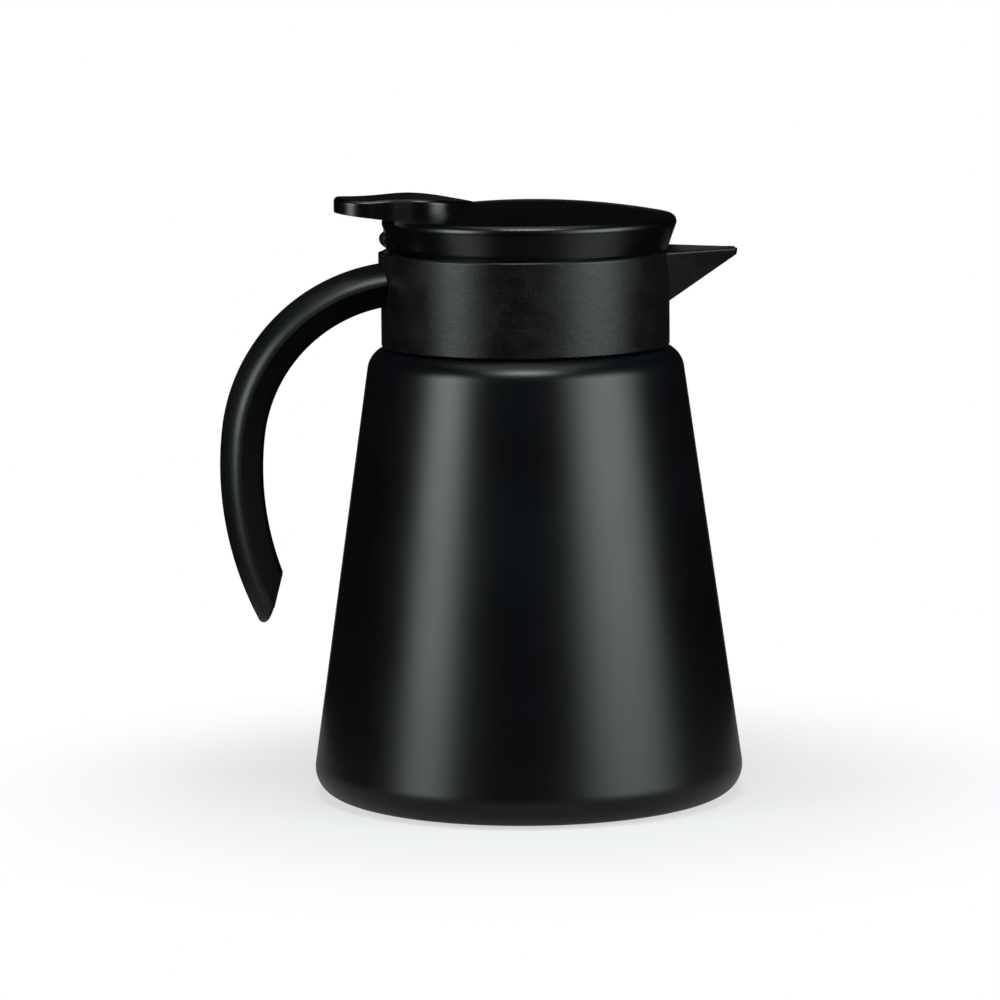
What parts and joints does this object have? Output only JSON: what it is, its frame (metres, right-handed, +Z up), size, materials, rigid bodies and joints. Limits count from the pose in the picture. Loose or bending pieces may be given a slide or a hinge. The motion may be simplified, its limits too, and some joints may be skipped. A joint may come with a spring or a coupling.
{
  "type": "insulated pouring jug",
  "caption": "Black vacuum-insulated pouring jug: tapered steel body, plastic collar with beak spout, C-shaped handle, and a sprung hinged lid with a thumb lever on a lift-out stopper.",
  "frame": {"origin": "centre of the foot ring, on the surface that the jug stands on", "axes": "+Z up along the body's axis, +X towards the spout, -X towards the handle, Y along the hinge pin"},
  "size_m": [0.1875, 0.1544, 0.2166],
  "materials": {
    "black_powder_coat": "satin",
    "bare_steel": "satin",
    "black_plastic": "matte",
    "lid_plastic": "satin",
    "silicone": "matte",
    "foot_rubber": "matte",
    "fastener_steel": "satin",
    "insert_brass": "satin",
    "lid_foam": "matte",
    "sealing_metal": "matte"
  },
  "bodies": {
    "jug": {"outer_shell": "black_powder_coat", "outer_base": "black_powder_coat", "vacuum_bead": "sealing_metal", "base_cover": "black_plastic", "foot_ring": "foot_rubber", "inner_flask": "bare_steel", "inner_base": "bare_steel", "getter": "sealing_metal", "collar": "black_plastic", "neck_gasket": "silicone", "handle_shell": "black_plastic", "handle_cover": "black_plastic", "handle_inserts": "insert_brass", "handle_screws": "fastener_steel"},
    "stopper": {"stopper_ring": "black_plastic", "stopper_seal": "silicone", "hinge_spring": "fastener_steel"},
    "lid": {"lid_cover": "lid_plastic", "lid_liner": "black_plastic", "lid_gasket": "silicone", "lid_foam": "lid_foam", "lid_screws": "fastener_steel", "hinge_pin": "fastener_steel"}
  },
  "joints": [
    {"name": "stopper_lift", "type": "slide", "parent": "jug", "child": "stopper", "axis": [0, 0, 1], "range_m": [0, 0.06]},
    {"name": "lid_hinge", "type": "hinge", "parent": "stopper", "child": "lid", "pos_m": [-0.0483, 0, 0.2002], "axis": [0, -1, 0], "range_deg": [0, 50], "stiffness_Nm_per_rad": 0.06, "springref_deg": -28.65, "deforming": ["hinge_spring"]}
  ]
}
